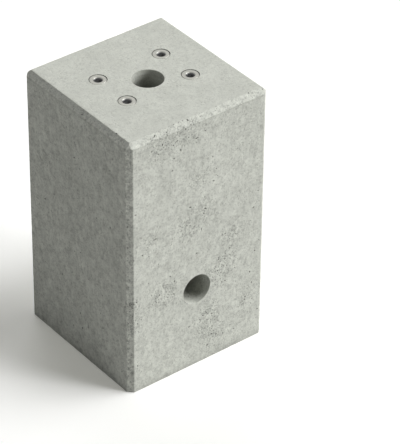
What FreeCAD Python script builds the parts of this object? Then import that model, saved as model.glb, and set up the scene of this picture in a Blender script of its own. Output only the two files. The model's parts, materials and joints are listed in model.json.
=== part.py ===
"""Precast concrete foundation: a square block with a cable duct and four cast-in threaded sockets.

Sizes are in millimetres. The origin is the middle of the base, and +Z is up. The front is the side
towards -Y, which has the cable entry, so +X is to the right of someone who stands before it.
"""
import FreeCAD, Part
import math
import os

import Sketcher

# Each driving dimension: its alias, its value and what it is.
DIMENSIONS = [
    ("block_width", 200, "block, left to right"),
    ("block_depth", 200, "block, front to back"),
    ("block_height", 350, "block, base to top"),
    ("arris", 6.5, "leg of the 45 degree arris on the upright edges and round the top"),
    ("corner_blunt", 1.1, "depth of the flat on a top corner, below the point where its arrises meet"),
    ("duct_bore", 38.5, "diameter of the upright cable duct"),
    ("duct_right", 1, "duct axis, to the right of the block's middle"),
    ("duct_forward", 2, "duct axis, in front of the block's middle"),
    ("entry_bore", 39.5, "diameter of the cable entry in the front"),
    ("entry_left", 2, "entry axis, to the left of the block's middle"),
    ("entry_height", 110, "entry axis, above the base"),
    ("core_overrun", 5, "how far each core of the mould runs past the other"),
    ("socket_pitch_x", 90, "sockets, axis to axis, left to right"),
    ("socket_pitch_y", 55, "sockets, axis to axis, front to back"),
    ("socket_back", 3, "middle of the four sockets, behind the block's middle"),
    ("flange_diameter", 20, "flange of a socket"),
    ("flange_thickness", 1.5, "flange of a socket"),
    ("flange_sink", 0.3, "top of the flange, under the top of the block"),
    ("ring_gap", 0.9, "open ring that the mould leaves round a flange"),
    ("barrel_diameter", 14, "barrel of a socket"),
    ("socket_length", 55, "socket, top of its flange to the end of its foot"),
    ("foot_diameter", 18, "anchor foot of a socket"),
    ("foot_height", 5, "straight part of the foot"),
    ("cast_gap", 0.1, "shrinkage gap between a socket and the concrete"),
    ("thread_bore", 8.5, "tapping bore of an M10 thread"),
    ("thread_depth", 40, "tapping bore, to the start of its point"),
    ("mouth_diameter", 12, "countersunk mouth of a socket"),
]

SOCKETS = [
    ("socket_front_left", -1, -1),
    ("socket_front_right", 1, -1),
    ("socket_back_left", -1, 1),
    ("socket_back_right", 1, 1),
]

MOUTH_ANGLE = 90
POINT_ANGLE = 118

# The least volume that a cut takes, in cubic millimetres.
SMALLEST_CUT = 0.001

# The size at which a curve is drawn, before its constraints take theirs from the sheet.
DRAWN_RADIUS = 1.0

# A constraint counts a sketch's axes down from its origin's number, and the points of a line or circle up.
ORIGIN = -1
AXES = ("across", "up")
POINTS = ("start", "end", "centre")

# From the upright to the direction in which a top corner points.
CORNER_TILT = math.degrees(math.acos(1 / math.sqrt(3)))


def add_sheet(doc):
    sheet = doc.addObject("Spreadsheet::Sheet", "Sizes")
    for row, (alias, value, meaning) in enumerate(DIMENSIONS, start=1):
        sheet.set("A%d" % row, meaning)
        sheet.set("B%d" % row, str(value))
        sheet.setAlias("B%d" % row, alias)
    doc.recompute()
    return sheet


def sized(expression):
    """The expression with each alias turned into a reference to the sheet."""
    for alias, _, _ in DIMENSIONS:
        expression = expression.replace(alias, "Sizes." + alias)
    return expression


def bind(item, property_name, expression):
    item.setExpression(property_name, sized(expression))


def origin_item(body, role):
    return next(item for item in body.Origin.OriginFeatures if item.Role == role)


def add_body(doc, label):
    body = doc.addObject("PartDesign::Body", label)
    body.Label = label
    return body


def axis_number(name):
    return ORIGIN - AXES.index(name)


def point_number(name):
    return POINTS.index(name) + 1


def add_sketch(body, name, plane, **offsets):
    """A sketch on a plane through the body's origin, moved by an expression for each axis given."""
    sketch = body.newObject("Sketcher::SketchObject", name)
    sketch.AttachmentSupport = (origin_item(body, plane), [""])
    sketch.MapMode = "FlatFace"
    for axis, expression in offsets.items():
        bind(sketch, "AttachmentOffset.Base." + axis, expression)
    return sketch


def hold_point(sketch, geometry, position, across, up):
    """Holds a point at two distances from the sketch's origin, each an expression."""
    for kind, axis, expression in (("DistanceX", "up", across), ("DistanceY", "across", up)):
        place = (geometry, point_number(position))
        if expression == "0":
            sketch.addConstraint(Sketcher.Constraint("PointOnObject", *place, axis_number(axis)))
            continue
        held = Sketcher.Constraint(kind, ORIGIN, point_number("start"), *place, DRAWN_RADIUS)
        bind(sketch, "Constraints[%d]" % sketch.addConstraint(held), expression)


def draw_outline(sketch, corners):
    """A closed outline of straight sides through the corners."""
    first = sketch.GeometryCount
    count = len(corners)
    ring = [2 * math.pi * turn / count for turn in range(count + 1)]
    points = [FreeCAD.Vector(math.cos(angle), math.sin(angle), 0) * DRAWN_RADIUS for angle in ring]
    for start, end in zip(points, points[1:]):
        sketch.addGeometry(Part.LineSegment(start, end), False)
    for side in range(count):
        end = (first + side, point_number("end"))
        start = (first + (side + 1) % count, point_number("start"))
        sketch.addConstraint(Sketcher.Constraint("Coincident", *end, *start))
    for side, (across, up) in enumerate(corners):
        hold_point(sketch, first + side, "start", across, up)


def draw_circle(sketch, across, up, diameter):
    circle = Part.Circle(FreeCAD.Vector(0, 0, 0), FreeCAD.Vector(0, 0, 1), DRAWN_RADIUS)
    geometry = sketch.addGeometry(circle, False)
    hold_point(sketch, geometry, "centre", across, up)
    held = Sketcher.Constraint("Diameter", geometry, 2 * DRAWN_RADIUS)
    bind(sketch, "Constraints[%d]" % sketch.addConstraint(held), diameter)


def add_feature(body, kind, name, sketch, **values):
    feature = body.newObject("PartDesign::" + kind, name)
    feature.Profile = sketch
    for key, value in values.items():
        setattr(feature, key, value)
    sketch.Visibility = False
    return feature


def took_material(feature, before):
    """Stops the build if a cut has missed the solid."""
    feature.Document.recompute()
    if feature.Shape.isNull() or feature.Shape.Volume > before - SMALLEST_CUT:
        raise RuntimeError(feature.Name + " cuts nothing")
    return feature.Shape.Volume


def add_prism(body):
    sketch = add_sketch(body, "PlanSketch", "XY_Plane")
    left, right = "-block_width / 2", "block_width / 2"
    front, back = "-block_depth / 2", "block_depth / 2"
    draw_outline(sketch, [(left, front), (right, front), (right, back), (left, back)])
    prism = add_feature(body, "Pad", "Prism", sketch)
    bind(prism, "Length", "block_height")
    body.Document.recompute()
    return prism


def bevel_top(body, prism):
    """The arris round the top face, along the four edges that lie wholly in the upper half."""
    middle = prism.Shape.CenterOfMass.z
    edges = [
        "Edge%d" % number
        for number, edge in enumerate(prism.Shape.Edges, start=1)
        if edge.BoundBox.ZMin > middle
    ]
    bevel = body.newObject("PartDesign::Chamfer", "TopArris")
    bevel.Base = (prism, edges)
    bind(bevel, "Size", "arris")
    return bevel


def bevel_corners(body):
    """The upright arrises, which meet the arris of the top in mitres."""
    sketch = add_sketch(body, "CornerSketch", "XY_Plane")
    for side in ("-", ""):
        for end in ("-", ""):
            near_x, far_x = side + "(block_width / 2 - 2 * arris)", side + "(block_width / 2 + arris)"
            near_y, far_y = end + "(block_depth / 2 - 2 * arris)", end + "(block_depth / 2 + arris)"
            draw_outline(sketch, [(near_x, far_y), (far_x, near_y), (far_x, far_y)])
    return add_feature(body, "Pocket", "UprightArrises", sketch, Type="ThroughAll", Reversed=True)


def blunt_corners(body):
    """The small flat on each top corner, square to the corner's diagonal and mirrored to all four."""
    inset = "- arris / 2 - corner_blunt / sqrt(3)"
    sketch = add_sketch(
        body, "BluntSketch", "XY_Plane",
        x="block_width / 2 " + inset, y="block_depth / 2 " + inset, z="block_height " + inset,
    )
    sketch.AttachmentOffset.Rotation = FreeCAD.Rotation(FreeCAD.Vector(-1, 1, 0), CORNER_TILT)
    draw_circle(sketch, "0", "0", "2 * arris")
    flat = add_feature(body, "Pocket", "BluntCorner", sketch, Type="ThroughAll", Reversed=True)
    body.Document.recompute()
    flats = body.newObject("PartDesign::MultiTransform", "BluntCorners")
    flats.Originals = [flat]
    mirrors = []
    for name, plane in (("AcrossX", "YZ_Plane"), ("AcrossY", "XZ_Plane")):
        mirror = body.newObject("PartDesign::Mirrored", name)
        mirror.MirrorPlane = (origin_item(body, plane), [""])
        mirrors.append(mirror)
    flats.Transformations = mirrors
    body.Tip = flats
    return flats


def cut_duct(body):
    """The upright duct, from the top down past the axis of the entry."""
    sketch = add_sketch(body, "DuctSketch", "XY_Plane", z="block_height")
    draw_circle(sketch, "duct_right", "-duct_forward", "duct_bore")
    duct = add_feature(body, "Pocket", "CableDuct", sketch)
    bind(duct, "Length", "block_height - entry_height + core_overrun")
    return duct


def cut_entry(body):
    """The entry, from the front in past the far wall of the duct."""
    sketch = add_sketch(body, "EntrySketch", "XZ_Plane", z="block_depth / 2")
    draw_circle(sketch, "-entry_left", "entry_height", "entry_bore")
    entry = add_feature(body, "Pocket", "CableEntry", sketch)
    bind(entry, "Length", "block_depth / 2 - duct_forward + duct_bore / 2 + core_overrun")
    return entry


def socket_outline(sink="", ring="", gap=""):
    """Half section of a socket, or of its seat where the gaps are given, from the axis outwards.

    The barrel flares at 45 degrees into the foot, which keys the socket into the concrete.
    """
    flange = "flange_diameter / 2" + ring
    barrel = "barrel_diameter / 2" + gap
    foot = "foot_diameter / 2" + gap
    flare = "(foot_diameter - barrel_diameter) / 2"
    shoulder = "-(flange_thickness%s)" % sink
    flare_end = "-(socket_length - foot_height%s)" % sink
    flare_start = "-(socket_length - foot_height - %s%s)" % (flare, sink)
    end = "-(socket_length%s%s)" % (sink, gap)
    return [
        ("0", "0"), (flange, "0"), (flange, shoulder), (barrel, shoulder),
        (barrel, flare_start), (foot, flare_end), (foot, end), ("0", end),
    ]


def cut_seats(body):
    """One seat, repeated to the right and to the back, as the mould's plate holds the sockets."""
    sketch = add_sketch(
        body, "SeatSketch", "XZ_Plane",
        x="-socket_pitch_x / 2", y="block_height", z="socket_pitch_y / 2 - socket_back",
    )
    draw_outline(sketch, socket_outline(" + flange_sink", " + ring_gap", " + cast_gap"))
    seat = add_feature(body, "Groove", "Seat", sketch, ReferenceAxis=(sketch, ["V_Axis"]))
    body.Document.recompute()
    seats = body.newObject("PartDesign::MultiTransform", "Seats")
    seats.Originals = [seat]
    rows = []
    for name, axis, pitch in (("X", "X_Axis", "socket_pitch_x"), ("Y", "Y_Axis", "socket_pitch_y")):
        row = body.newObject("PartDesign::LinearPattern", "SeatsAlong" + name)
        row.Direction = (origin_item(body, axis), [""])
        row.Occurrences = 2
        bind(row, "Length", pitch)
        rows.append(row)
    seats.Transformations = rows
    body.Tip = seats
    return seats


def make_block(doc):
    body = add_body(doc, "foundation_block")
    prism = add_prism(body)
    volume = took_material(bevel_top(body, prism), prism.Shape.Volume)
    for cut in (bevel_corners, blunt_corners, cut_duct, cut_entry, cut_seats):
        volume = took_material(cut(body), volume)
    return body


def make_socket(doc, label, side, end):
    """A socket turned from bar, drilled and countersunk from the top of its flange."""
    body = add_body(doc, label)
    turned = add_sketch(body, label + "_section", "XZ_Plane")
    draw_outline(turned, socket_outline())
    blank = add_feature(body, "Revolution", label + "_blank", turned, ReferenceAxis=(turned, ["V_Axis"]))
    mark = add_sketch(body, label + "_mark", "XY_Plane")
    draw_circle(mark, "0", "0", "thread_bore")
    doc.recompute()
    volume = blank.Shape.Volume
    bore = add_feature(body, "Hole", label + "_bore", mark)
    doc.recompute()
    drill(bore)
    took_material(bore, volume)
    bind(body, "Placement.Base.x", "%d * socket_pitch_x / 2" % side)
    bind(body, "Placement.Base.y", "socket_back + %d * socket_pitch_y / 2" % end)
    bind(body, "Placement.Base.z", "block_height - flange_sink")
    return body


def drill(bore):
    bore.ThreadType = "None"
    bore.DepthType = "Dimension"
    bore.DrillPoint = "Angled"
    bore.DrillPointAngle = POINT_ANGLE
    bore.HoleCutType = "Countersink"
    bore.HoleCutCountersinkAngle = MOUTH_ANGLE
    bind(bore, "Diameter", "thread_bore")
    bind(bore, "Depth", "thread_depth")
    bind(bore, "HoleCutDiameter", "mouth_diameter")


def check(doc, bodies):
    for item in doc.Objects:
        if "Invalid" in item.State or "Error" in item.State:
            raise RuntimeError(item.Name + " has failed")
    for body in bodies:
        if body.Shape.isNull() or not body.Shape.isValid() or len(body.Shape.Solids) != 1:
            raise RuntimeError(body.Label + " is not one sound solid")


def main():
    os.makedirs("parts", exist_ok=True)
    doc = FreeCAD.newDocument("Foundation")
    add_sheet(doc)
    bodies = [make_block(doc)]
    for label, side, end in SOCKETS:
        bodies.append(make_socket(doc, label, side, end))
    doc.recompute()
    check(doc, bodies)
    for body in bodies:
        body.Shape.exportStep("parts/%s.step" % body.Label)
        print(body.Label, round(body.Shape.Volume), "mm3")


main()
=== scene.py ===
"""Finish, light and camera for a precast concrete foundation.

The casting is a square block with a cable duct, a cable entry and four turned steel sockets cast into its
top. Lengths are in metres, in the part's own frame: the origin is the middle of the base, +Z is up, and the
front, with the cable entry, looks towards -Y.
"""
import json
import math

import bmesh
import bpy
from mathutils import Matrix, Vector, noise


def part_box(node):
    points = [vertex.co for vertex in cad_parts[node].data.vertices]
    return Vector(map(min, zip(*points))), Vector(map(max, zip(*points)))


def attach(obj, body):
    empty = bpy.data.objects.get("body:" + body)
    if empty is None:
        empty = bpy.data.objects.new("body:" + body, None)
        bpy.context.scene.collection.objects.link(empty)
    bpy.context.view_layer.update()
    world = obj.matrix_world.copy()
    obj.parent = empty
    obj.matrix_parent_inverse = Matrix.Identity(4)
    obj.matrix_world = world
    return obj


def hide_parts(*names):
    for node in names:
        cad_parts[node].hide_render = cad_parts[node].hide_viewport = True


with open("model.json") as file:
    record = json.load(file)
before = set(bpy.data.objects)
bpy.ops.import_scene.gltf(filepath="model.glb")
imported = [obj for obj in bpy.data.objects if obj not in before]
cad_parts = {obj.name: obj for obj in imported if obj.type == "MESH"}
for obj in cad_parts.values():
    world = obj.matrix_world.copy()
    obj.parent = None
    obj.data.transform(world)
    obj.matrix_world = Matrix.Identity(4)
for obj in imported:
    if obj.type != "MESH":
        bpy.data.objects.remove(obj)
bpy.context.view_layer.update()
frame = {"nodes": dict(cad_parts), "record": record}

MM = 0.001
TOUCH = 0.001 * MM
BODY = "root"

# The casting, read from the frame.
CASTING = "foundation_block"
SOCKETS = sorted(name for name in frame["nodes"] if name.startswith("socket_"))
HALF_WIDTH, HALF_DEPTH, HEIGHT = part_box(CASTING)[1]
MOUNTS = {mount["name"]: mount for mount in frame["record"]["mounts"]}

# The casting's own finish.
EDGE_ROUND = 0.35 * MM
EDGE_STEPS = 2
NET = 4 * MM
WAVE_DEPTH, WAVE_LENGTH = 0.15 * MM, 30 * MM
WEAR_DEPTH, WEAR_LENGTH, WEAR_REACH = 0.35 * MM, 7 * MM, 1.5 * MM
FINE_WEAR = 0.3
MOUTH_ROUND = 0.3 * MM
MOUTH_STEPS = 4
CORE_SIDES = 96
CASTING_CREASE = math.radians(32)

# Blowholes: how many to a square metre of an ordinary wall, and their radii.
BLOWHOLES = 5200
BLOWHOLE_RADII = (0.35 * MM, 1.15 * MM)
BLOWHOLE_OVAL = (0.8, 1.0, 1.5)
BLOWHOLE_SEED = 7
# Most are small: a draw from 0 to 1 is raised to this power. Their walls are lumpy.
SMALL_POWER = 2.5
LUMP_SCALE, LUMP_HEIGHT = 1.3, 1.4
BLOWHOLE_SHARES = {"front": 0.42, "side": 0.4, "back": 0.4, "arris": 0.45, "top": 0, "base": 0.2}
# Where they crowd: a place on the front or its arrises in millimetres, its reach and how strongly.
BLOWHOLE_CLUSTERS = [
    ((-56, -100, 338), 16, 7), ((-30, -100, 336), 16, 7), ((-12, -96, 346), 22, 4),
    ((-17, -100, 206), 14, 8), ((-70, -100, 205), 14, 5), ((47, -100, 168), 12, 10),
    ((44, -100, 132), 12, 12), ((30, -100, 118), 14, 8), ((-50, -100, 124), 15, 11),
    ((7, -100, 219), 14, 6), ((14, -100, 60), 16, 8), ((22, -100, 34), 16, 7),
    ((1, -100, 262), 16, 5), ((72, -100, 62), 16, 4), ((-97, -97, 124), 9, 12),
    ((-95, -99, 98), 7, 14),
]

# A socket: an M10 thread in a turned barrel under a flange.
FLANGE_THICKNESS = 1.5 * MM
FLANGE_EDGE = 0.25 * MM
BARREL_RADIUS = 7 * MM
FOOT_HEIGHT = 5 * MM
RING_GAP = 0.9 * MM
CAST_GAP = 0.1 * MM
MOUTH_RADIUS = 6 * MM
MOUTH_EDGE = 0.2 * MM
THREAD_INNER, THREAD_OUTER = 4.25 * MM, 5 * MM
THREAD_PITCH = 1.5 * MM
THREAD_LENGTH = 38.25 * MM
THREAD_ROWS = 6
# The thread's flanks: how steep they are, and how far the flat crests hold them back.
GROOVE_RISE, GROOVE_START = 3.0, -0.25
POINT_HALF_ANGLE = math.radians(59)
SOCKET_SIDES = 48
SOCKET_CREASE = math.radians(30)

# Finishes, as linear colours.
CONCRETE_COLOUR = (0.604, 0.618, 0.561, 1)
STEEL_COLOUR = (0.47, 0.47, 0.425, 1)
# The cone, the bore and the flange's rim are painted darker than the steel: painted shade.
CONE_SHADE_COLOUR = (0.31, 0.31, 0.285, 1)
BORE_SHADE_COLOUR = (0.09, 0.09, 0.09, 1)
FLOOR_SEEN, FLOOR_GLOW = (0.94, 0.94, 0.94, 1), (0.196, 0.196, 0.176, 1)
FLOOR_LIT = (0.49, 0.49, 0.48, 1)
# Painted shade in a pinhole and on the wall of a hollow: how dark they are, as a share of the skin's colour.
PINHOLE_SHADE, HOLLOW_SHADE = 0.35, 0.42
# The painted shadow line under the small step that the mould's arris strip leaves: how far under the arris
# its middle runs, and half its width.
SEAM_SHADOW_DROP, SEAM_SHADOW_WIDTH = 1.1 * MM, 1.9 * MM
# Painted shade along the foot of the walls, where the shadowed floor sends little light: its height, and how
# much the height wavers.
FOOT_SHADE_HEIGHT, FOOT_WAVER = 11 * MM, 2.5 * MM
# Painted shade in the ducts: how far in the skin begins to darken, where it darkens further, and over what
# depth.
DUCT_START, DUCT_DEEP, DUCT_FADE = 0.5 * MM, 10 * MM, 30 * MM
# Steel: the width of a change of colour and of the flange's rim, which is painted dark as shade, and the
# pitch of the tool's marks.
COLOUR_CHANGE, RIM_WIDTH, TOOL_PITCH = 0.3 * MM, 0.15 * MM, 0.12 * MM

# The camera: where it stands, where it looks and how long its lens is.
CAMERA_PLACE = (-1.5800, -2.0940, 2.0425)
CAMERA_AZIMUTH, CAMERA_ELEVATION, CAMERA_ROLL = (math.radians(a) for a in (-128.42, 35.83, 0.63))
SENSOR = 36
LENS = 222.4

# The light: each lamp's azimuth, elevation and spread in degrees, its level, and whether steel mirrors it.
LAMPS = {
    "broad_front": (-25, 35, 50, 0.575, True),
    "low_front": (-55, 20, 20, 0.520, False),
    "small_above": (-40, 70, 16, 0.235, True),
    "low_right": (60, 10, 50, 0.730, False),
    "weak_left": (180, 20, 40, 0.135, False),
}


# Meshes

def new_piece(name, bm):
    """A piece of the object whose mesh is already in place."""
    mesh = bpy.data.meshes.new(name)
    bm.to_mesh(mesh)
    bm.free()
    piece = bpy.data.objects.new(name, mesh)
    bpy.context.scene.collection.objects.link(piece)
    return piece


def settle(piece):
    """Makes a plain mesh of what the modifiers of a piece give, and takes them off."""
    bpy.context.view_layer.update()
    evaluated = piece.evaluated_get(bpy.context.evaluated_depsgraph_get())
    mesh = bpy.data.meshes.new_from_object(evaluated)
    piece.modifiers.clear()
    piece.data = mesh


def turned(section, sides, foot=Vector((0, 0, 0)), axis=Vector((0, 0, 1))):
    """A half section of (radius, height) points, turned about an axis and closed where it meets it."""
    bm = bmesh.new()
    rings = []
    for radius, height in section:
        count = sides if radius > TOUCH else 1
        turns = [2 * math.pi * step / sides for step in range(count)]
        rings.append([bm.verts.new((radius * math.cos(a), radius * math.sin(a), height)) for a in turns])
    for near, far in zip(rings, rings[1:]):
        for step in range(sides):
            following = (step + 1) % sides
            ring = [near[step % len(near)], near[following % len(near)]]
            ring += [far[following % len(far)], far[step % len(far)]]
            bm.faces.new(dict.fromkeys(ring))
    bmesh.ops.recalc_face_normals(bm, faces=bm.faces)
    place = Matrix.Translation(foot) @ axis.to_track_quat("Z", "Y").to_matrix().to_4x4()
    bmesh.ops.transform(bm, matrix=place, verts=bm.verts)
    return bm


def quarter(centre, radius, start, steps):
    """Points of a quarter circle in a half section, from a starting angle onwards."""
    turns = [start + math.pi / 2 * step / steps for step in range(steps + 1)]
    return [(centre[0] + radius * math.cos(a), centre[1] + radius * math.sin(a)) for a in turns]


# The casting

def skin_depths(point):
    """How far a point lies inside the nearest side, the front or back, and the top."""
    return HALF_WIDTH - abs(point.x), HALF_DEPTH - abs(point.y), HEIGHT - point.z


CASTING_POINTS = [skin_depths(vertex.co) for vertex in frame["nodes"][CASTING].data.vertices]
# An arris is as wide on each face as the side walls end below the top.
ARRIS = min(top for x, y, top in CASTING_POINTS if x < TOUCH)
# The flat of a top corner: the sum of the three depths is the same all over it.
BLUNT_SUM = min(map(sum, CASTING_POINTS))


def casting_corners():
    """The corners of the bare prism, whose arrises meet in a small flat at each corner of the top."""
    far, near = BLUNT_SUM - ARRIS, 2 * ARRIS - BLUNT_SUM
    for side in (-1, 1):
        for end in (-1, 1):
            for inset_x, inset_y, below in (
                (ARRIS, ARRIS, 0), (0, ARRIS, ARRIS), (ARRIS, 0, ARRIS),
                (far, far, near), (near, far, far), (far, near, far),
                (0, ARRIS, HEIGHT), (ARRIS, 0, HEIGHT),
            ):
                yield side * (HALF_WIDTH - inset_x), end * (HALF_DEPTH - inset_y), HEIGHT - below


def face_depths(point):
    """How deep a point lies under each face, arris and corner flat of the prism."""
    x, y, top = skin_depths(point)
    arrises = [(a + b - ARRIS) / math.sqrt(2) for a, b in ((x, y), (x, top), (y, top))]
    return [x, y, top, point.z] + arrises + [(x + y + top - BLUNT_SUM) / math.sqrt(3)]


def edge_distance(point):
    """How far a point of the surface is from the nearest edge."""
    return sorted(face_depths(point))[1]


def add_net(bm):
    """Cuts the faces into a net fine enough to wave and wear."""
    spans = ((0, -HALF_WIDTH, HALF_WIDTH), (1, -HALF_DEPTH, HALF_DEPTH), (2, 0, HEIGHT))
    for axis, low, high in spans:
        normal = [0, 0, 0]
        normal[axis] = 1
        for step in range(1, round((high - low) / NET)):
            place = [0, 0, 0]
            place[axis] = low + step * NET
            every = bm.verts[:] + bm.edges[:] + bm.faces[:]
            bmesh.ops.bisect_plane(bm, geom=every, plane_co=place, plane_no=normal)


def weather(bm):
    """Lets the surface wave a little and wears its edges, always inwards."""
    bm.normal_update()
    moves = []
    for vertex in bm.verts:
        wave = 0.5 + 0.5 * noise.noise(vertex.co / WAVE_LENGTH)
        worn = max(0, noise.noise(vertex.co / WEAR_LENGTH))
        worn += FINE_WEAR * max(0, noise.noise(vertex.co / MM))
        near = max(0, 1 - edge_distance(vertex.co) / WEAR_REACH)
        depth = WAVE_DEPTH * wave + WEAR_DEPTH * worn * near
        moves.append(vertex.co - vertex.normal * depth)
    for vertex, place in zip(bm.verts, moves):
        vertex.co = place


def bare_casting():
    bm = bmesh.new()
    for corner in casting_corners():
        bm.verts.new(corner)
    bmesh.ops.convex_hull(bm, input=bm.verts)
    bmesh.ops.dissolve_limit(bm, angle_limit=math.radians(1), verts=bm.verts, edges=bm.edges)
    bmesh.ops.bevel(
        bm, geom=bm.edges[:], offset=EDGE_ROUND, offset_type="OFFSET", segments=EDGE_STEPS,
        profile=0.5, affect="EDGES", clamp_overlap=True,
    )
    add_net(bm)
    weather(bm)
    bmesh.ops.recalc_face_normals(bm, faces=bm.faces)
    return new_piece("cast_block", bm)


def core(mount):
    """The form of a duct, from outside its mouth to its end, with the mouth's edge rounded."""
    axis = Vector(mount["axis"])
    place = Vector(mount["pos_m"])
    radius, length = mount["dims"]["r_mm"] * MM, mount["dims"]["length_mm"] * MM
    reach = HEIGHT if axis.z > 0.5 else HALF_DEPTH
    mouth = place + axis * (reach - place.dot(axis))
    out = radius + MOUTH_ROUND
    lip = quarter((out, -MOUTH_ROUND), MOUTH_ROUND, math.pi / 2, MOUTH_STEPS)
    section = [(0, MOUTH_ROUND), (out, MOUTH_ROUND)] + lip + [(radius, -length), (0, -length)]
    return turned(section, CORE_SIDES, mouth, axis)


def socket_axis(name):
    low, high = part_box(name)
    return Vector(((low.x + high.x) / 2, (low.y + high.y) / 2, high.z))


def socket_sizes(name):
    """The flange's radius, the foot's radius and the length of a socket."""
    low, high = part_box(name)
    foot = max(
        math.hypot(*(vertex.co - socket_axis(name)).xy)
        for vertex in frame["nodes"][name].data.vertices
        if vertex.co.z < low.z + FOOT_HEIGHT / 2
    )
    return (high.x - low.x) / 2, foot, high.z - low.z


def seat(name):
    """The hollow that the casting keeps for a socket, with an open ring round the flange."""
    flange, foot, length = socket_sizes(name)
    top = socket_axis(name)
    above = HEIGHT - top.z
    out = flange + RING_GAP
    barrel, foot = BARREL_RADIUS + CAST_GAP, foot + CAST_GAP
    section = [
        (0, above + MM), (out, above + MM), (out, -FLANGE_THICKNESS), (barrel, -FLANGE_THICKNESS),
        (barrel, foot - barrel + FOOT_HEIGHT - length), (foot, FOOT_HEIGHT - length),
        (foot, -length - CAST_GAP), (0, -length - CAST_GAP),
    ]
    return turned(section, CORE_SIDES, top)


def carve(piece, cutter):
    """Takes a closed solid out of a piece."""
    tool = new_piece(piece.name + "_cutter", cutter)
    cut = piece.modifiers.new("cut", "BOOLEAN")
    cut.operation = "DIFFERENCE"
    cut.solver = "MANIFOLD"
    cut.object = tool
    settle(piece)
    bpy.data.objects.remove(tool)


def on_skin(point):
    """The name of the part of the outer skin that a point is on, or nothing inside the ducts and seats."""
    faces = ["side", "front" if point.y < 0 else "back", "top", "base"]
    depth, name = min(zip(face_depths(point), faces + ["arris"] * 4))
    return name if depth < 3 * WAVE_DEPTH + WEAR_DEPTH else None


def mark_blowholes(piece):
    """Writes how thickly blowholes lie at each point of the surface."""
    shares = piece.data.attributes.new("blowhole_share", "FLOAT", "POINT")
    for vertex, share in zip(piece.data.vertices, shares.data):
        crowd = 1
        for place, reach, strength in BLOWHOLE_CLUSTERS:
            away = (vertex.co / MM - Vector(place)).length / reach
            crowd += strength * math.exp(-away * away)
        share.value = BLOWHOLE_SHARES.get(on_skin(vertex.co), 0) * crowd


# Node trees

def add(tree, kind, inputs=None, **settings):
    """A node with its settings. Each input is given a value or another node's output."""
    node = tree.nodes.new(kind)
    for key, value in settings.items():
        setattr(node, key, value)
    for key, value in (inputs or {}).items():
        socket = node.inputs[key]
        if isinstance(value, bpy.types.NodeSocket):
            tree.links.new(value, socket)
        else:
            socket.default_value = value
    return node


def calc(tree, operation, *values, clamp=False):
    node = add(tree, "ShaderNodeMath", dict(enumerate(values)), operation=operation, use_clamp=clamp)
    return node.outputs[0]


def scaled(tree, vector, factor):
    return add(tree, "ShaderNodeVectorMath", {0: vector, "Scale": factor}, operation="SCALE").outputs[0]


def new_tree(name, kind, inputs, outputs):
    """A tree with named sockets. Each is a type, or a type and its value."""
    tree = bpy.data.node_groups.new(name, kind)
    for side, sockets in (("INPUT", inputs), ("OUTPUT", outputs)):
        for label, (form, value) in sockets.items():
            socket = tree.interface.new_socket(label, in_out=side, socket_type="NodeSocket" + form)
            if value is not None:
                socket.default_value = value
    entry = tree.nodes.new("NodeGroupInput")
    leave = tree.nodes.new("NodeGroupOutput")
    return tree, entry.outputs, leave.inputs


def set_inputs(modifier, values):
    for item in modifier.node_group.interface.items_tree:
        if item.item_type == "SOCKET" and item.in_out == "INPUT" and item.name in values:
            modifier[item.identifier] = values[item.name]


# Blowholes, as geometry

def ragged_hollow(tree):
    """A small ball with an uneven skin, marked as a hollow's wall."""
    ball = add(tree, "GeometryNodeMeshIcoSphere", {"Radius": 1.0, "Subdivisions": 2})
    lumps = add(
        tree, "ShaderNodeTexNoise", {"Scale": LUMP_SCALE, "Detail": 1.0, "W": 0.0}, noise_dimensions="4D"
    )
    place = add(tree, "GeometryNodeInputPosition").outputs[0]
    swell = calc(tree, "MULTIPLY_ADD", lumps.outputs[0], LUMP_HEIGHT, -LUMP_HEIGHT / 2)
    offset = scaled(tree, place, swell)
    moved = add(tree, "GeometryNodeSetPosition", {"Geometry": ball.outputs["Mesh"], "Offset": offset})
    marked = add(
        tree, "GeometryNodeStoreNamedAttribute",
        {"Geometry": moved.outputs[0], "Name": "hollow", "Value": 1.0}, data_type="FLOAT", domain="FACE",
    )
    return marked.outputs[0]


def blowhole_tree():
    """Cuts ragged hollows out of a closed mesh, as thickly as its blowhole_share says."""
    tree, entry, leave = new_tree(
        "Blowholes", "GeometryNodeTree",
        {
            "Geometry": ("Geometry", None), "Count per Area": ("Float", 1000.0),
            "Smallest": ("Float", 0.001), "Largest": ("Float", 0.002), "Seed": ("Int", 1),
            "Material": ("Material", None),
        },
        {"Geometry": ("Geometry", None)},
    )
    share = add(tree, "GeometryNodeInputNamedAttribute", {"Name": "blowhole_share"}, data_type="FLOAT")
    density = calc(tree, "MULTIPLY", share.outputs[0], entry["Count per Area"])
    points = add(
        tree, "GeometryNodeDistributePointsOnFaces",
        {"Mesh": entry["Geometry"], "Density": density, "Seed": entry["Seed"]}, distribute_method="RANDOM",
    )
    chance = add(tree, "FunctionNodeRandomValue", {"Seed": entry["Seed"]}, data_type="FLOAT")
    small = calc(tree, "POWER", chance.outputs[1], SMALL_POWER)
    spread = calc(tree, "SUBTRACT", entry["Largest"], entry["Smallest"])
    radius = calc(tree, "MULTIPLY_ADD", small, spread, entry["Smallest"])
    turn = add(tree, "FunctionNodeRandomValue", {"Seed": entry["Seed"]}, data_type="FLOAT_VECTOR")
    turn.inputs[1].default_value = (2 * math.pi,) * 3
    hollows = add(
        tree, "GeometryNodeInstanceOnPoints",
        {
            "Points": points.outputs["Points"], "Instance": ragged_hollow(tree),
            "Rotation": turn.outputs[0], "Scale": scaled(tree, BLOWHOLE_OVAL, radius),
        },
    )
    cut = add(tree, "GeometryNodeMeshBoolean", operation="DIFFERENCE", solver="MANIFOLD")
    tree.links.new(entry["Geometry"], cut.inputs[0])
    tree.links.new(hollows.outputs[0], cut.inputs[1])
    real = add(tree, "GeometryNodeRealizeInstances", {"Geometry": cut.outputs["Mesh"]})
    done = add(
        tree, "GeometryNodeSetMaterial", {"Geometry": real.outputs[0], "Material": entry["Material"]}
    )
    tree.links.new(done.outputs[0], leave["Geometry"])
    return tree


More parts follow.
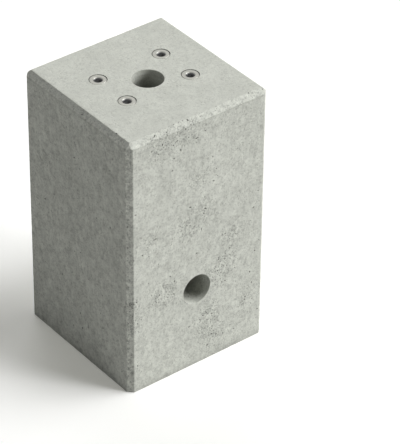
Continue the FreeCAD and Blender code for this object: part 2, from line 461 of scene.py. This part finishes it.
def add_blowholes(piece, material):
    mark_blowholes(piece)
    holes = piece.modifiers.new("blowholes", "NODES")
    holes.node_group = blowhole_tree()
    smallest, largest = BLOWHOLE_RADII
    set_inputs(holes, {
        "Count per Area": BLOWHOLES, "Smallest": smallest, "Largest": largest,
        "Seed": BLOWHOLE_SEED, "Material": material,
    })
    settle(piece)
    piece.data.materials.clear()
    piece.data.materials.append(material)


def mark_rings(piece):
    """Marks the walls of the open rings round the flanges as hollow, so that they are painted dark as shade.
    """
    hollow = piece.data.attributes.new("hollow", "FLOAT", "FACE")
    flange = socket_sizes(SOCKETS[0])[0]
    axes = [socket_axis(name) for name in SOCKETS]
    for face, mark in zip(piece.data.polygons, hollow.data):
        middle = face.center.copy()
        if HEIGHT - 2 * FLANGE_THICKNESS < middle.z < HEIGHT - 0.5 * FLANGE_THICKNESS:
            away = min((middle - axis).xy.length for axis in axes)
            mark.value = float(flange - RING_GAP < away < flange + 1.5 * RING_GAP)


def make_casting(material):
    casting = bare_casting()
    for mount in ("cable_duct", "cable_entry"):
        carve(casting, core(MOUNTS[mount]))
    for name in SOCKETS:
        carve(casting, seat(name))
    mark_rings(casting)
    add_blowholes(casting, material)
    smooth_below(casting, CASTING_CREASE)
    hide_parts(CASTING)
    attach(casting, BODY)


def smooth_below(piece, angle):
    """Shades a piece smoothly, but for edges sharper than an angle, and keeps its large faces flat."""
    piece.data.shade_smooth()
    piece.data.set_sharp_from_angle(angle=angle)
    even = piece.modifiers.new("flat_faces", "WEIGHTED_NORMAL")
    even.keep_sharp = True
    settle(piece)


# Sockets

def thread_tree():
    """The wall of a threaded bore: a net of points rolled into a tube, whose radius follows the thread."""
    tree, entry, leave = new_tree(
        "Thread wall", "GeometryNodeTree",
        {
            "Geometry": ("Geometry", None), "Material": ("Material", None),
            "Inner Radius": ("Float", 0.004), "Outer Radius": ("Float", 0.005),
            "Pitch": ("Float", 0.0015), "Length": ("Float", 0.04),
            "Sides": ("Int", 48), "Rows": ("Int", 150),
        },
        {"Geometry": ("Geometry", None)},
    )
    columns = calc(tree, "ADD", entry["Sides"], 1)
    levels = calc(tree, "ADD", entry["Rows"], 1)
    net = add(
        tree, "GeometryNodeMeshGrid",
        {"Size X": 1.0, "Size Y": 1.0, "Vertices X": columns, "Vertices Y": levels},
    )
    place = add(tree, "GeometryNodeInputPosition").outputs[0]
    split = add(tree, "ShaderNodeSeparateXYZ", {0: place}).outputs
    turn = calc(tree, "ADD", split[0], 0.5)
    down = calc(tree, "ADD", split[1], 0.5)
    depth = calc(tree, "MULTIPLY", down, entry["Length"])
    phase = calc(tree, "ADD", calc(tree, "DIVIDE", depth, entry["Pitch"]), turn)
    wave = calc(tree, "PINGPONG", phase, 0.5)
    groove = calc(tree, "MULTIPLY_ADD", wave, GROOVE_RISE, GROOVE_START, clamp=True)
    run_in = calc(tree, "DIVIDE", depth, entry["Pitch"], clamp=True)
    run_out = calc(
        tree, "DIVIDE", calc(tree, "SUBTRACT", entry["Length"], depth), entry["Pitch"], clamp=True
    )
    cut = calc(tree, "MULTIPLY", groove, calc(tree, "MINIMUM", run_in, run_out))
    height = calc(tree, "SUBTRACT", entry["Outer Radius"], entry["Inner Radius"])
    radius = calc(tree, "MULTIPLY_ADD", cut, height, entry["Inner Radius"])
    angle = calc(tree, "MULTIPLY", turn, 2 * math.pi)
    x = calc(tree, "MULTIPLY", radius, calc(tree, "COSINE", angle))
    y = calc(tree, "MULTIPLY", radius, calc(tree, "SINE", angle))
    z = calc(tree, "MULTIPLY", depth, -1.0)
    rolled = add(tree, "ShaderNodeCombineXYZ", {0: x, 1: y, 2: z}).outputs[0]
    moved = add(tree, "GeometryNodeSetPosition", {"Geometry": net.outputs["Mesh"], "Position": rolled})
    closed = add(tree, "GeometryNodeMergeByDistance", {"Geometry": moved.outputs[0], "Distance": TOUCH})
    real = add(tree, "GeometryNodeRealizeInstances", {"Geometry": closed.outputs[0]})
    done = add(
        tree, "GeometryNodeSetMaterial", {"Geometry": real.outputs[0], "Material": entry["Material"]}
    )
    tree.links.new(done.outputs[0], leave["Geometry"])
    return tree


def thread_wall(tree, material):
    """The threaded wall as a plain mesh, which starts at the origin and goes down."""
    wall = new_piece("thread_wall", bmesh.new())
    roll = wall.modifiers.new("thread", "NODES")
    roll.node_group = tree
    set_inputs(roll, {
        "Inner Radius": THREAD_INNER, "Outer Radius": THREAD_OUTER, "Pitch": THREAD_PITCH,
        "Length": THREAD_LENGTH, "Sides": SOCKET_SIDES,
        "Rows": round(THREAD_LENGTH / THREAD_PITCH * THREAD_ROWS), "Material": material,
    })
    settle(wall)
    mesh = wall.data
    bpy.data.objects.remove(wall)
    return mesh


def make_socket(name, thread, material):
    """A socket turned from bar, with its thread open at the countersunk mouth."""
    flange, foot, length = socket_sizes(name)
    top = socket_axis(name)
    cone = MOUTH_RADIUS - THREAD_INNER
    point = THREAD_INNER / math.tan(POINT_HALF_ANGLE)
    shell = [
        (THREAD_INNER, -cone), (MOUTH_RADIUS - MOUTH_EDGE, -MOUTH_EDGE), (MOUTH_RADIUS + MOUTH_EDGE, 0),
        (flange - FLANGE_EDGE, 0), (flange, -FLANGE_EDGE), (flange, -FLANGE_THICKNESS),
        (BARREL_RADIUS, -FLANGE_THICKNESS), (BARREL_RADIUS, foot - BARREL_RADIUS + FOOT_HEIGHT - length),
        (foot, FOOT_HEIGHT - length), (foot, -length), (0, -length),
    ]
    bottom = -cone - THREAD_LENGTH
    drill = turned([(THREAD_INNER, bottom), (0, bottom - point)], SOCKET_SIDES)
    end = bpy.data.meshes.new("bore_end")
    drill.to_mesh(end)
    drill.free()
    wall = thread.copy()
    wall.transform(Matrix.Translation((0, 0, -cone)))
    bm = turned(shell, SOCKET_SIDES)
    for mesh in (end, wall):
        bm.from_mesh(mesh)
        bpy.data.meshes.remove(mesh)
    bmesh.ops.remove_doubles(bm, verts=bm.verts, dist=TOUCH)
    bmesh.ops.recalc_face_normals(bm, faces=bm.faces)
    radii = bm.verts.layers.float.new("turned_radius")
    for vertex in bm.verts:
        vertex[radii] = math.hypot(vertex.co.x, vertex.co.y)
    bmesh.ops.translate(bm, verts=bm.verts, vec=top)
    socket = new_piece(name.replace("socket", "turned_socket"), bm)
    socket.data.materials.clear()
    socket.data.materials.append(material)
    smooth_below(socket, SOCKET_CREASE)
    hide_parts(name)
    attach(socket, BODY)


# Shader groups

def clouding_group():
    """Soft blotches, from -1 to 1, of a given size."""
    tree, entry, leave = new_tree(
        "Clouding", "ShaderNodeTree",
        {
            "Vector": ("Vector", None), "Size": ("Float", 0.02), "Detail": ("Float", 3.0),
            "Seed": ("Float", 0.0),
        },
        {"Shade": ("Float", None)},
    )
    scale = calc(tree, "DIVIDE", 1.0, entry["Size"])
    cloud = add(
        tree, "ShaderNodeTexNoise",
        {"Vector": entry["Vector"], "Scale": scale, "Detail": entry["Detail"], "W": entry["Seed"]},
        noise_dimensions="4D",
    )
    shade = calc(tree, "MULTIPLY_ADD", cloud.outputs[0], 4.0, -2.0)
    tree.links.new(shade, leave["Shade"])
    return tree


def grain_group():
    """Sand in the skin: a fine shade from -1 to 1 and a height from 0 to 1."""
    tree, entry, leave = new_tree(
        "Sand grain", "ShaderNodeTree",
        {"Vector": ("Vector", None), "Size": ("Float", 0.001)},
        {"Shade": ("Float", None), "Height": ("Float", None)},
    )
    scale = calc(tree, "DIVIDE", 1.0, entry["Size"])
    sand = add(
        tree, "ShaderNodeTexNoise",
        {"Vector": entry["Vector"], "Scale": scale, "Detail": 3.0, "Roughness": 0.7}, noise_dimensions="3D",
    )
    shade = calc(tree, "MULTIPLY_ADD", sand.outputs[0], 4.0, -2.0)
    tree.links.new(shade, leave["Shade"])
    tree.links.new(sand.outputs[0], leave["Height"])
    return tree


def pinhole_group():
    """Pinholes too small to model, most of them smaller than Radius: a mask that is 1 in a hole."""
    tree, entry, leave = new_tree(
        "Pinholes", "ShaderNodeTree",
        {
            "Vector": ("Vector", None), "Spacing": ("Float", 0.004), "Radius": ("Float", 0.1),
            "Share": ("Float", 0.3),
        },
        {"Mask": ("Float", None)},
    )
    scale = calc(tree, "DIVIDE", 1.0, entry["Spacing"])
    cells = add(tree, "ShaderNodeTexVoronoi", {"Vector": entry["Vector"], "Scale": scale}, feature="F1")
    pick = add(tree, "ShaderNodeSeparateColor", {0: cells.outputs["Color"]}).outputs
    chosen = calc(tree, "LESS_THAN", pick[0], entry["Share"])
    larger = calc(tree, "MULTIPLY_ADD", calc(tree, "POWER", pick[1], 3.0), 1.5, 0.6)
    size = calc(tree, "MULTIPLY", entry["Radius"], larger)
    inside = calc(tree, "SUBTRACT", 1.0, calc(tree, "DIVIDE", cells.outputs["Distance"], size), clamp=True)
    mask = calc(tree, "MULTIPLY", calc(tree, "MULTIPLY", inside, 2.5, clamp=True), chosen)
    tree.links.new(mask, leave["Mask"])
    return tree


def run_group():
    """Water runs: upright streaks that lean a little, from -1 to 1."""
    tree, entry, leave = new_tree(
        "Water runs", "ShaderNodeTree",
        {
            "Vector": ("Vector", None), "Width": ("Float", 0.008), "Length": ("Float", 0.08),
            "Lean": ("Float", 0.2),
        },
        {"Shade": ("Float", None)},
    )
    split = add(tree, "ShaderNodeSeparateXYZ", {0: entry["Vector"]}).outputs
    slide = calc(tree, "MULTIPLY", split[2], entry["Lean"])
    x = calc(tree, "DIVIDE", calc(tree, "SUBTRACT", split[0], slide), entry["Width"])
    y = calc(tree, "DIVIDE", calc(tree, "SUBTRACT", split[1], slide), entry["Width"])
    z = calc(tree, "DIVIDE", split[2], entry["Length"])
    stretched = add(tree, "ShaderNodeCombineXYZ", {0: x, 1: y, 2: z}).outputs[0]
    streak = add(tree, "ShaderNodeTexNoise", {"Vector": stretched, "Scale": 1.0, "Detail": 2.0})
    shade = calc(tree, "MULTIPLY_ADD", streak.outputs[0], 4.0, -2.0)
    tree.links.new(shade, leave["Shade"])
    return tree


def stain_group():
    """Torn patches with a soft edge: 1 in a patch, 0 between the patches."""
    tree, entry, leave = new_tree(
        "Stains", "ShaderNodeTree",
        {
            "Vector": ("Vector", None), "Size": ("Float", 0.01), "Level": ("Float", 0.6),
            "Softness": ("Float", 0.08), "Twist": ("Float", 1.0), "Seed": ("Float", 0.0),
        },
        {"Mask": ("Float", None)},
    )
    scale = calc(tree, "DIVIDE", 1.0, entry["Size"])
    patch = add(
        tree, "ShaderNodeTexNoise",
        {
            "Vector": entry["Vector"], "Scale": scale, "Detail": 2.0, "Distortion": entry["Twist"],
            "W": entry["Seed"],
        },
        noise_dimensions="4D",
    )
    over = calc(tree, "SUBTRACT", patch.outputs[0], entry["Level"])
    tree.links.new(calc(tree, "DIVIDE", over, entry["Softness"], clamp=True), leave["Mask"])
    return tree


def casting_group():
    """Where a point of the casting lies.

    Arris is 1 on an arris, Left is 1 on the left wall and Corner is 1 on the flats of the top's corners.
    Inside is how deep the point lies under the nearest face, Below Top is how far it is under the top, and
    Above Base how far above the base.
    """
    tree, entry, leave = new_tree(
        "Place on the casting", "ShaderNodeTree",
        {
            "Vector": ("Vector", None), "Soft": ("Float", 0.0006),
            "Half Width": ("Float", HALF_WIDTH), "Half Depth": ("Float", HALF_DEPTH),
            "Height": ("Float", HEIGHT), "Arris": ("Float", ARRIS), "Blunt Sum": ("Float", BLUNT_SUM),
        },
        {
            "Arris": ("Float", None), "Left": ("Float", None), "Corner": ("Float", None),
            "Inside": ("Float", None), "Below Top": ("Float", None), "Above Base": ("Float", None),
        },
    )
    split = add(tree, "ShaderNodeSeparateXYZ", {0: entry["Vector"]}).outputs
    x = calc(tree, "SUBTRACT", entry["Half Width"], calc(tree, "ABSOLUTE", split[0]))
    y = calc(tree, "SUBTRACT", entry["Half Depth"], calc(tree, "ABSOLUTE", split[1]))
    top = calc(tree, "SUBTRACT", entry["Height"], split[2])
    face = calc(tree, "MINIMUM", calc(tree, "MINIMUM", x, y), calc(tree, "MINIMUM", top, split[2]))
    arris = entry["Height"]
    for one, two in ((x, y), (x, top), (y, top)):
        leg = calc(tree, "SUBTRACT", calc(tree, "ADD", one, two), entry["Arris"])
        arris = calc(tree, "MINIMUM", arris, calc(tree, "DIVIDE", leg, math.sqrt(2)))
    nearer = calc(tree, "DIVIDE", calc(tree, "SUBTRACT", face, arris), entry["Soft"], clamp=True)
    from_left = calc(tree, "DIVIDE", calc(tree, "ADD", split[0], entry["Half Width"]), entry["Arris"])
    left = calc(tree, "SUBTRACT", 1.0, from_left, clamp=True)
    all_three = calc(tree, "ADD", calc(tree, "ADD", x, y), top)
    past = calc(tree, "DIVIDE", calc(tree, "SUBTRACT", all_three, entry["Blunt Sum"]), entry["Arris"])
    tree.links.new(nearer, leave["Arris"])
    tree.links.new(left, leave["Left"])
    tree.links.new(calc(tree, "SUBTRACT", 1.0, past, clamp=True), leave["Corner"])
    tree.links.new(calc(tree, "MINIMUM", face, arris), leave["Inside"])
    tree.links.new(top, leave["Below Top"])
    tree.links.new(split[2], leave["Above Base"])
    return tree


def seam_shadow_group():
    """A painted shadow line under the small step that the mould's arris strip leaves along the top of the
    walls: 1 in its middle.
    """
    tree, entry, leave = new_tree(
        "Seam shadow", "ShaderNodeTree",
        {"Depth": ("Float", 0.0), "Level": ("Float", ARRIS), "Width": ("Float", 0.001)},
        {"Mask": ("Float", None)},
    )
    away = calc(tree, "ABSOLUTE", calc(tree, "SUBTRACT", entry["Depth"], entry["Level"]))
    mask = calc(tree, "SUBTRACT", 1.0, calc(tree, "DIVIDE", away, entry["Width"]), clamp=True)
    tree.links.new(mask, leave["Mask"])
    return tree


# Materials

def new_material(name):
    material = bpy.data.materials.new(name)
    material.use_nodes = True
    tree = material.node_tree
    tree.nodes.clear()
    shader = tree.nodes.new("ShaderNodeBsdfPrincipled")
    leave = tree.nodes.new("ShaderNodeOutputMaterial")
    tree.links.new(shader.outputs[0], leave.inputs["Surface"])
    return material, tree, shader


def use(tree, group, **inputs):
    """A group placed in a material, with its own values."""
    return add(tree, "ShaderNodeGroup", inputs, node_tree=group).outputs


def blend_colour(tree, factor, one, two):
    return add(tree, "ShaderNodeMix", {0: factor, 6: one, 7: two}, data_type="RGBA").outputs[2]


def shade_sum(tree, parts):
    """1 plus each shade times its strength."""
    total = 1.0
    for shade, strength in parts:
        total = calc(tree, "MULTIPLY_ADD", shade, strength, total)
    return total


def darker(colour, factor):
    return tuple(channel * factor for channel in colour[:3]) + (1,)


def looked_at(tree):
    """1 for the rays that show a thing to the camera, also in steel and through glass, and 0 for light."""
    rays = add(tree, "ShaderNodeLightPath").outputs
    seen = calc(tree, "MAXIMUM", rays["Is Camera Ray"], rays["Is Glossy Ray"])
    return calc(tree, "MAXIMUM", seen, rays["Is Transmission Ray"])


def concrete_material(groups):
    """Pale cast concrete: a cloudy cement skin with sand, pores and faint runs, smoother on top."""
    material, tree, shader = new_material("cast_concrete")
    place = add(tree, "ShaderNodeTexCoord").outputs["Object"]
    casting = use(tree, groups["casting"], Vector=place)
    under_top, arris = casting["Below Top"], casting["Arris"]
    porous = add(tree, "ShaderNodeAttribute", attribute_name="blowhole_share").outputs["Fac"]
    porous = calc(tree, "MULTIPLY", porous, 0.4, clamp=True)
    hollow = add(tree, "ShaderNodeAttribute", attribute_name="hollow").outputs["Fac"]

    broad = use(tree, groups["clouding"], Vector=place, Size=60 * MM, Detail=2.0, Seed=1.0)["Shade"]
    middle = use(tree, groups["clouding"], Vector=place, Size=20 * MM, Detail=2.0, Seed=4.0)["Shade"]
    small = use(tree, groups["clouding"], Vector=place, Size=7 * MM, Detail=1.0, Seed=9.0)["Shade"]
    runs = use(tree, groups["runs"], Vector=place, Width=4 * MM, Length=35 * MM, Lean=0.15)["Shade"]
    coarse = use(tree, groups["grain"], Vector=place, Size=3 * MM)
    fine = use(tree, groups["grain"], Vector=place, Size=1.6 * MM)
    seam_shadow = use(tree, groups["seam_shadow"], Depth=under_top, Level=ARRIS + SEAM_SHADOW_DROP, Width=SEAM_SHADOW_WIDTH)["Mask"]
    crowd = calc(tree, "MULTIPLY_ADD", middle, 0.30, calc(tree, "MULTIPLY_ADD", porous, 0.8, 0.25))
    holes = use(tree, groups["pinholes"], Vector=place, Spacing=3 * MM, Radius=0.22, Share=crowd)["Mask"]

    # How rough the skin is: least on the top, most on the arrises and where blowholes crowd. The dark
    # hollows between its grains stand out more than their pale tops.
    on_wall = calc(tree, "DIVIDE", under_top, ARRIS, clamp=True)
    patchy = calc(tree, "MULTIPLY_ADD", middle, 0.25, calc(tree, "MULTIPLY_ADD", on_wall, 0.15, 0.8))
    upright = calc(tree, "SUBTRACT", calc(tree, "DIVIDE", under_top, ARRIS), 1.0, clamp=True)
    upright = calc(tree, "MULTIPLY", upright, arris)
    for mask, strength in ((arris, 0.5), (upright, 0.7), (porous, 0.9), (casting["Left"], 0.2)):
        patchy = calc(tree, "MULTIPLY_ADD", mask, strength, patchy)
    sandy = calc(tree, "MAXIMUM", patchy, 0.3)
    sand = shade_sum(tree, ((small, 0.06), (coarse["Shade"], 0.12), (fine["Shade"], 0.15)))
    grains = calc(tree, "MULTIPLY", calc(tree, "SUBTRACT", sand, 1.0), sandy)
    dark, light = (calc(tree, "MULTIPLY", grains, strength) for strength in (1.5, 0.6))
    sand = calc(tree, "ADD", calc(tree, "MINIMUM", dark, light), 1.0)

    # Clouds, torn stains and water runs, and painted shade: a thin shadow line under the step that the
    # mould's arris strip leaves, and a band along the foot of the walls.
    rarity = calc(tree, "MULTIPLY_ADD", porous, -0.07, 0.63)
    pits = use(
        tree, groups["stains"], Vector=place, Size=4.8 * MM, Level=rarity, Softness=0.06, Twist=1.6, Seed=8.0
    )["Mask"]
    marks = use(tree, groups["stains"], Vector=place, Size=12 * MM, Level=0.58, Twist=1.2, Seed=3.0)["Mask"]
    pale = use(tree, groups["stains"], Vector=place, Size=24 * MM, Level=0.56, Twist=1.0, Seed=6.0)["Mask"]
    # Painted shade along the foot of the walls, its top wavering.
    rise = calc(tree, "MULTIPLY_ADD", middle, FOOT_WAVER, FOOT_SHADE_HEIGHT)
    foot_shade = calc(tree, "SUBTRACT", 1.0, calc(tree, "DIVIDE", casting["Above Base"], rise), clamp=True)
    stained = shade_sum(
        tree,
        (
            (pits, -0.16), (marks, -0.09), (pale, 0.04), (runs, 0.06), (small, 0.03), (seam_shadow, -0.10),
            (foot_shade, -0.18),
        ),
    )
    stained = calc(tree, "SUBTRACT", stained, 1.0)
    more = calc(tree, "MULTIPLY_ADD", casting["Left"], 0.45, on_wall)
    # Painted light: the arrises along the left wall are made lighter.
    lit_left_arris = calc(tree, "MULTIPLY", arris, casting["Left"])
    cloud = shade_sum(
        tree,
        (
            (broad, 0.045), (middle, 0.05), (stained, more), (porous, -0.02), (lit_left_arris, 0.14),
            # Painted shade: the flats at the top's corners are made darker.
            (casting["Corner"], -0.07),
        ),
    )

    # Painted shade inside the ducts: the skin is darker, less so in the entry, and darker still further in.
    inside = calc(tree, "DIVIDE", calc(tree, "SUBTRACT", casting["Inside"], DUCT_START), MM, clamp=True)
    deep = calc(tree, "SUBTRACT", casting["Inside"], DUCT_DEEP)
    deep = calc(tree, "DIVIDE", deep, DUCT_FADE, clamp=True)
    lower = calc(tree, "MULTIPLY", inside, calc(tree, "DIVIDE", under_top, HEIGHT / 2, clamp=True))
    dull = shade_sum(tree, ((inside, -0.20), (deep, -0.50), (lower, 0.15)))
    shade = calc(tree, "MULTIPLY", calc(tree, "MULTIPLY", sand, cloud), dull)
    plain = scaled(tree, CONCRETE_COLOUR[:3], shade)
    strong = calc(tree, "MULTIPLY_ADD", porous, 0.75, 0.24)
    # Painted shade: pinholes and the walls of hollows, the blowholes and the rings round the flanges, are
    # made darker.
    pricked = blend_colour(
        tree, calc(tree, "MULTIPLY", holes, strong), plain, darker(CONCRETE_COLOUR, PINHOLE_SHADE)
    )
    holed = blend_colour(tree, hollow, pricked, darker(CONCRETE_COLOUR, HOLLOW_SHADE))
    tree.links.new(holed, shader.inputs["Base Color"])
    rough = calc(tree, "MULTIPLY_ADD", small, 0.05, 0.86)
    tree.links.new(rough, shader.inputs["Roughness"])
    shader.inputs["Specular IOR Level"].default_value = 0.15
    sunk = calc(tree, "MULTIPLY_ADD", pits, 0.6, holes)
    height = calc(tree, "SUBTRACT", calc(tree, "MULTIPLY", coarse["Height"], sandy), sunk)
    bump = add(tree, "ShaderNodeBump", {"Height": height, "Strength": 0.4, "Distance": 0.6 * MM})
    tree.links.new(bump.outputs[0], shader.inputs["Normal"])
    return material


def steel_material(groups):
    """Turned steel: a dull skin on the flange, with painted shade in the cone, in the bore and on the rim.
    """
    material, tree, shader = new_material("turned_steel")
    place = add(tree, "ShaderNodeTexCoord").outputs["Object"]
    radius = add(tree, "ShaderNodeAttribute", attribute_name="turned_radius").outputs["Fac"]
    blotch = use(tree, groups["clouding"], Vector=place, Size=4 * MM, Detail=3.0, Seed=2.0)["Shade"]
    dust = use(tree, groups["grain"], Vector=place, Size=0.9 * MM)["Shade"]
    shade = shade_sum(tree, ((blotch, 0.08), (dust, 0.05)))
    plain = scaled(tree, STEEL_COLOUR[:3], shade)
    rim = socket_sizes(SOCKETS[0])[0] - RIM_WIDTH
    # Painted shade: dark in the bore, darker in the cone than on the flange, and dark again on the flange's
    # rim.
    colour = BORE_SHADE_COLOUR
    for start, following in ((THREAD_OUTER, CONE_SHADE_COLOUR), (MOUTH_RADIUS, plain), (rim, BORE_SHADE_COLOUR)):
        past = calc(tree, "DIVIDE", calc(tree, "SUBTRACT", radius, start), COLOUR_CHANGE, clamp=True)
        colour = blend_colour(tree, past, colour, following)
    tree.links.new(colour, shader.inputs["Base Color"])
    shader.inputs["Metallic"].default_value = 1.0
    rough = calc(tree, "MULTIPLY_ADD", blotch, 0.06, 0.33)
    tree.links.new(rough, shader.inputs["Roughness"])
    rings = calc(tree, "SINE", calc(tree, "MULTIPLY", radius, 2 * math.pi / TOOL_PITCH))
    bump = add(tree, "ShaderNodeBump", {"Height": rings, "Strength": 0.25, "Distance": 0.02 * MM})
    tree.links.new(bump.outputs[0], shader.inputs["Normal"])
    return material


def floor_material():
    """A pale floor. What the camera sees of it is nearly white, and it keeps the shadow."""
    material, tree, shader = new_material("pale_floor")
    seen = looked_at(tree)
    tree.links.new(blend_colour(tree, seen, FLOOR_LIT, FLOOR_SEEN), shader.inputs["Base Color"])
    tree.links.new(seen, shader.inputs["Emission Strength"])
    shader.inputs["Emission Color"].default_value = FLOOR_GLOW
    shader.inputs["Roughness"].default_value = 1.0
    shader.inputs["Specular IOR Level"].default_value = 0.0
    return material


# Studio

def add_floor():
    bm = bmesh.new()
    bmesh.ops.create_grid(bm, x_segments=1, y_segments=1, size=6)
    floor = new_piece("floor", bm)
    floor.data.materials.append(floor_material())


def direction(azimuth, elevation):
    flat = math.cos(elevation)
    return Vector((math.cos(azimuth) * flat, math.sin(azimuth) * flat, math.sin(elevation)))


def add_lamp(name, azimuth, elevation, spread, level, mirrored):
    """A lamp far away. At level 1 a white face square to it renders white."""
    lamp = bpy.data.lights.new(name, "SUN")
    lamp.energy = level * math.pi
    lamp.angle = math.radians(spread)
    sun = bpy.data.objects.new(name, lamp)
    towards = direction(math.radians(azimuth), math.radians(elevation))
    sun.rotation_euler = towards.to_track_quat("Z", "Y").to_euler()
    sun.visible_glossy = mirrored
    bpy.context.scene.collection.objects.link(sun)


def add_backdrop():
    """A backdrop that looks white to the camera and in steel and sheds no light."""
    world = bpy.data.worlds.new("sky")
    world.use_nodes = True
    bpy.context.scene.world = world
    tree = world.node_tree
    tree.nodes.clear()
    glow = add(tree, "ShaderNodeBackground", {"Color": (1, 1, 1, 1), "Strength": looked_at(tree)})
    leave = tree.nodes.new("ShaderNodeOutputWorld")
    tree.links.new(glow.outputs[0], leave.inputs["Surface"])


def add_camera():
    back = direction(CAMERA_AZIMUTH, CAMERA_ELEVATION)
    right = Vector((-math.sin(CAMERA_AZIMUTH), math.cos(CAMERA_AZIMUTH), 0))
    level = Matrix((right, back.cross(right), back)).transposed()
    roll = Matrix.Rotation(CAMERA_ROLL, 3, "Z")
    lens = bpy.data.cameras.new("camera")
    lens.sensor_width = SENSOR
    lens.lens = LENS
    camera = bpy.data.objects.new("camera", lens)
    camera.matrix_world = Matrix.Translation(CAMERA_PLACE) @ (level @ roll).to_4x4()
    bpy.context.scene.collection.objects.link(camera)
    bpy.context.scene.camera = camera


groups = {
    "clouding": clouding_group(), "grain": grain_group(), "pinholes": pinhole_group(),
    "runs": run_group(), "stains": stain_group(), "casting": casting_group(), "seam_shadow": seam_shadow_group(),
}
concrete = concrete_material(groups)
steel = steel_material(groups)
make_casting(concrete)
thread = thread_wall(thread_tree(), steel)
for name in SOCKETS:
    make_socket(name, thread, steel)
add_floor()
for name, lamp in LAMPS.items():
    add_lamp(name, *lamp)
add_backdrop()
add_camera()
bpy.context.scene.view_settings.view_transform = "Standard"
